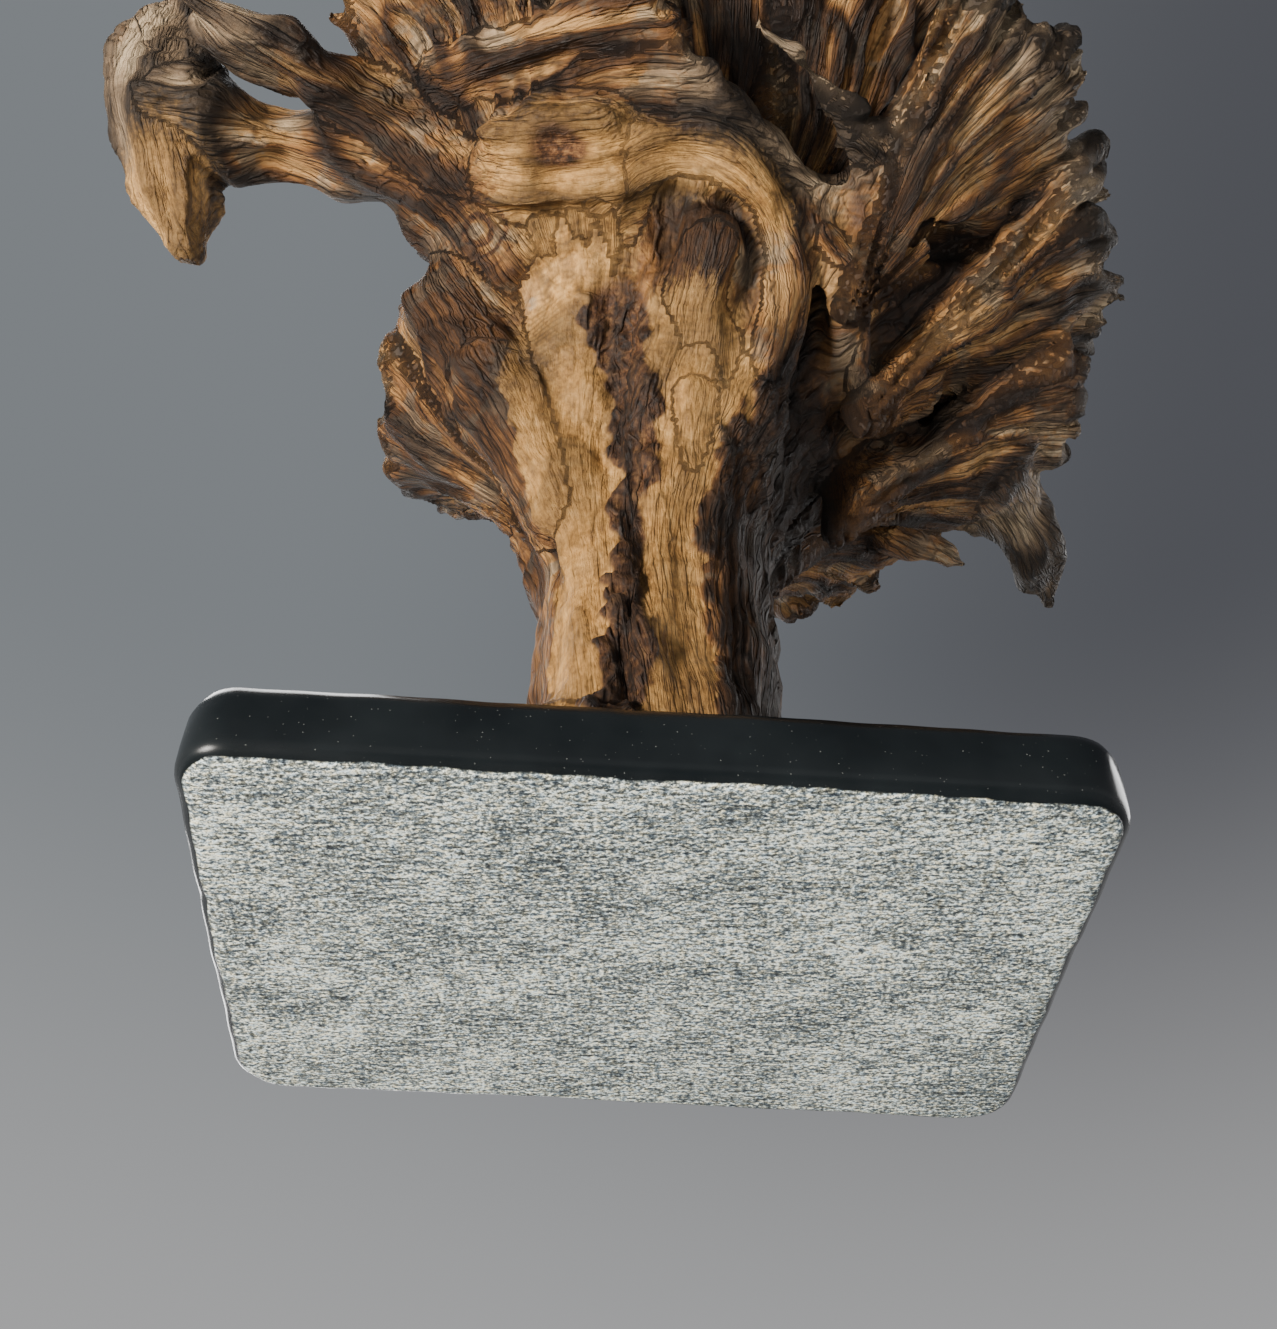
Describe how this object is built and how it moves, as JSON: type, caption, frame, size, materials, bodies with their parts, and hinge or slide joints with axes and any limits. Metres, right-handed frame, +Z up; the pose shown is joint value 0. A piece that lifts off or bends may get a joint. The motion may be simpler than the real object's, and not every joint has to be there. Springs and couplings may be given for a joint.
{
  "type": "wood rose on a stand",
  "caption": "Fluted, flower-like woody gall on a short stalk, standing upright on a rectangular polished black stone plate.",
  "frame": {"origin": "centre of the stone plate's underside", "axes": "+Z up along the stalk, +X to the right along the plate's long side, -Y to the front"},
  "size_m": [0.2488, 0.1912, 0.2316],
  "materials": {
    "black_stone": "polished top and edges, sawn and unpolished underside",
    "gall_wood": "bare weathered wood, lightly oiled, with bark in the folds",
    "pin_steel": "plain drawn steel",
    "clear_glue": "amber epoxy, squeezed out and set"
  },
  "bodies": {
    "root": {"stone_base": "black_stone", "wood_rose": "gall_wood", "mounting_pin": "pin_steel", "glue_bed": "clear_glue"}
  },
  "joints": []
}
